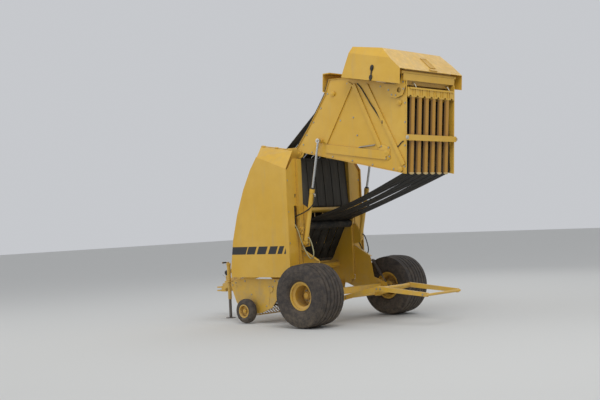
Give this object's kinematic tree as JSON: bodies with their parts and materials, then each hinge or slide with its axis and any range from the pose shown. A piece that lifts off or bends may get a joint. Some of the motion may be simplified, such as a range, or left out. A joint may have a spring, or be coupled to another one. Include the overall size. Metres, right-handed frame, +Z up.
{
  "type": "round baler",
  "caption": "Trailed round baler with a raised tailgate, rubber belts, side shields, a tined pickup with gauge wheels, a net box and a rear bale ramp.",
  "frame": {"origin": "on the ground, at the middle of the box round the whole machine", "axes": "+X forward along the drawbar, +Y to the machine's left side, +Z up"},
  "size_m": [4.945, 2.725, 4.2493],
  "materials": {
    "paint": "faded satin enamel",
    "iron": "worn dark paint",
    "guard": "matte",
    "belting": "worn smooth",
    "tyre_rubber": "dusty",
    "rod_chrome": "polished",
    "spring_steel": "worn",
    "net": "woven net on a roll"
  },
  "bodies": {
    "frame": {"left_wall": "paint", "right_wall": "paint", "rear_panels": "paint", "front_frame": "paint", "axle": "paint", "gussets": "paint", "tongue": "paint", "hitch": "paint", "jack_tube": "paint", "gearbox": "iron", "driveline": "guard", "chain_drive": "iron", "frame_rollers": "iron", "tension_arm": "paint", "front_belts": "belting", "chamber_belts": "belting", "inner_belts": "belting", "lower_belts": "belting", "cylinder_brackets": "paint", "ramp_springs": "spring_steel"},
    "upper_belts": {"upper_belts": "belting"},
    "tailgate": {"left_gate_side": "paint", "right_gate_side": "paint", "gate_slats": "paint", "gate_frame": "paint", "gate_rollers": "iron", "gate_belts": "belting", "net_tray": "paint", "net_roll": "net"},
    "net_cover": {"net_cover": "paint"},
    "left_barrel": {"left_barrel": "paint"},
    "right_barrel": {"right_barrel": "paint"},
    "left_rod": {"left_rod": "rod_chrome"},
    "right_rod": {"right_rod": "rod_chrome"},
    "bale_ramp": {"bale_ramp": "paint"},
    "pickup": {"pickup_frame": "paint", "pickup_bands": "paint"},
    "pickup_reel": {"pickup_reel": "spring_steel"},
    "windguard": {"windguard": "paint"},
    "left_wheel": {"left_tyre": "tyre_rubber", "left_rim": "paint"},
    "right_wheel": {"right_tyre": "tyre_rubber", "right_rim": "paint"},
    "left_gauge_wheel": {"gauge_tyres_left": "tyre_rubber", "gauge_rim_left": "paint"},
    "right_gauge_wheel": {"gauge_tyres_right": "tyre_rubber", "gauge_rim_right": "paint"},
    "left_shield": {"left_shield": "paint"},
    "right_shield": {"right_shield": "paint"},
    "jack_leg": {"jack_leg": "spring_steel"}
  },
  "joints": [
    {"name": "left_wheel_spin", "type": "hinge", "parent": "frame", "child": "left_wheel", "pos_m": [-0.7325, 1.09, 0.498], "axis": [0, 1, 0], "continuous": true},
    {"name": "right_wheel_spin", "type": "hinge", "parent": "frame", "child": "right_wheel", "pos_m": [-0.7325, -1.09, 0.498], "axis": [0, 1, 0], "continuous": true},
    {"name": "left_gauge_spin", "type": "hinge", "parent": "pickup", "child": "left_gauge_wheel", "pos_m": [0.7925, 0.963, 0.208], "axis": [0, 1, 0], "continuous": true},
    {"name": "right_gauge_spin", "type": "hinge", "parent": "pickup", "child": "right_gauge_wheel", "pos_m": [0.7925, -0.963, 0.208], "axis": [0, 1, 0], "continuous": true},
    {"name": "tailgate_lift", "type": "hinge", "parent": "frame", "child": "tailgate", "pos_m": [-0.2325, 0, 2.74], "axis": [0, 1, 0], "range_deg": [-77, 0], "deforming": ["lower_belts", "upper_belts"]},
    {"name": "upper_belt_swing", "type": "hinge", "parent": "frame", "child": "upper_belts", "pos_m": [0.3575, 0, 2.526], "axis": [0, 1, 0], "range_deg": [-51, 1]},
    {"name": "left_cylinder_tilt", "type": "hinge", "parent": "frame", "child": "left_barrel", "pos_m": [-0.3425, 0.692, 1.3], "axis": [0, 1, 0], "range_deg": [-1, 6]},
    {"name": "left_cylinder_stroke", "type": "slide", "parent": "left_barrel", "child": "left_rod", "axis": [-0.2207, 0, 0.9753], "range_m": [-0.61, 0.005]},
    {"name": "right_cylinder_tilt", "type": "hinge", "parent": "frame", "child": "right_barrel", "pos_m": [-0.3425, -0.692, 1.3], "axis": [0, 1, 0], "range_deg": [-1, 6]},
    {"name": "right_cylinder_stroke", "type": "slide", "parent": "right_barrel", "child": "right_rod", "axis": [-0.2207, 0, 0.9753], "range_m": [-0.61, 0.005]},
    {"name": "ramp_tilt", "type": "hinge", "parent": "frame", "child": "bale_ramp", "pos_m": [-0.8425, 0, 0.4], "axis": [0, 1, 0], "range_deg": [-11, 0]},
    {"name": "pickup_lift", "type": "hinge", "parent": "frame", "child": "pickup", "pos_m": [0.3175, 0, 0.56], "axis": [0, -1, 0], "range_deg": [0, 10]},
    {"name": "pickup_reel_spin", "type": "hinge", "parent": "pickup", "child": "pickup_reel", "pos_m": [0.7775, 0, 0.345], "axis": [0, 1, 0], "continuous": true},
    {"name": "windguard_lift", "type": "hinge", "parent": "pickup", "child": "windguard", "pos_m": [1.1175, 0, 0.6], "axis": [0, 1, 0], "range_deg": [0, 15]},
    {"name": "left_shield_lift", "type": "hinge", "parent": "frame", "child": "left_shield", "pos_m": [-0.1725, 0.72, 2.79], "axis": [0.9864, 0, 0.1644], "range_deg": [0, 60]},
    {"name": "right_shield_lift", "type": "hinge", "parent": "frame", "child": "right_shield", "pos_m": [-0.1725, -0.72, 2.79], "axis": [-0.9864, 0, -0.1644], "range_deg": [0, 60]},
    {"name": "net_cover_lift", "type": "hinge", "parent": "tailgate", "child": "net_cover", "pos_m": [-1.29678, 0, 3.76691], "axis": [0, 1, 0], "range_deg": [0, 50]},
    {"name": "jack_slide", "type": "slide", "parent": "frame", "child": "jack_leg", "axis": [0, 0, 1], "range_m": [-0.08, 0.3]}
  ],
  "couplings": [
    {"joint": "upper_belt_swing", "follows": "tailgate_lift", "ratio": 0.6545},
    {"joint": "left_cylinder_tilt", "follows": "tailgate_lift", "ratio": -0.0622},
    {"joint": "left_cylinder_stroke", "follows": "tailgate_lift", "m_per_rad": 0.4498},
    {"joint": "right_cylinder_tilt", "follows": "tailgate_lift", "ratio": -0.0622},
    {"joint": "right_cylinder_stroke", "follows": "tailgate_lift", "m_per_rad": 0.4498}
  ]
}
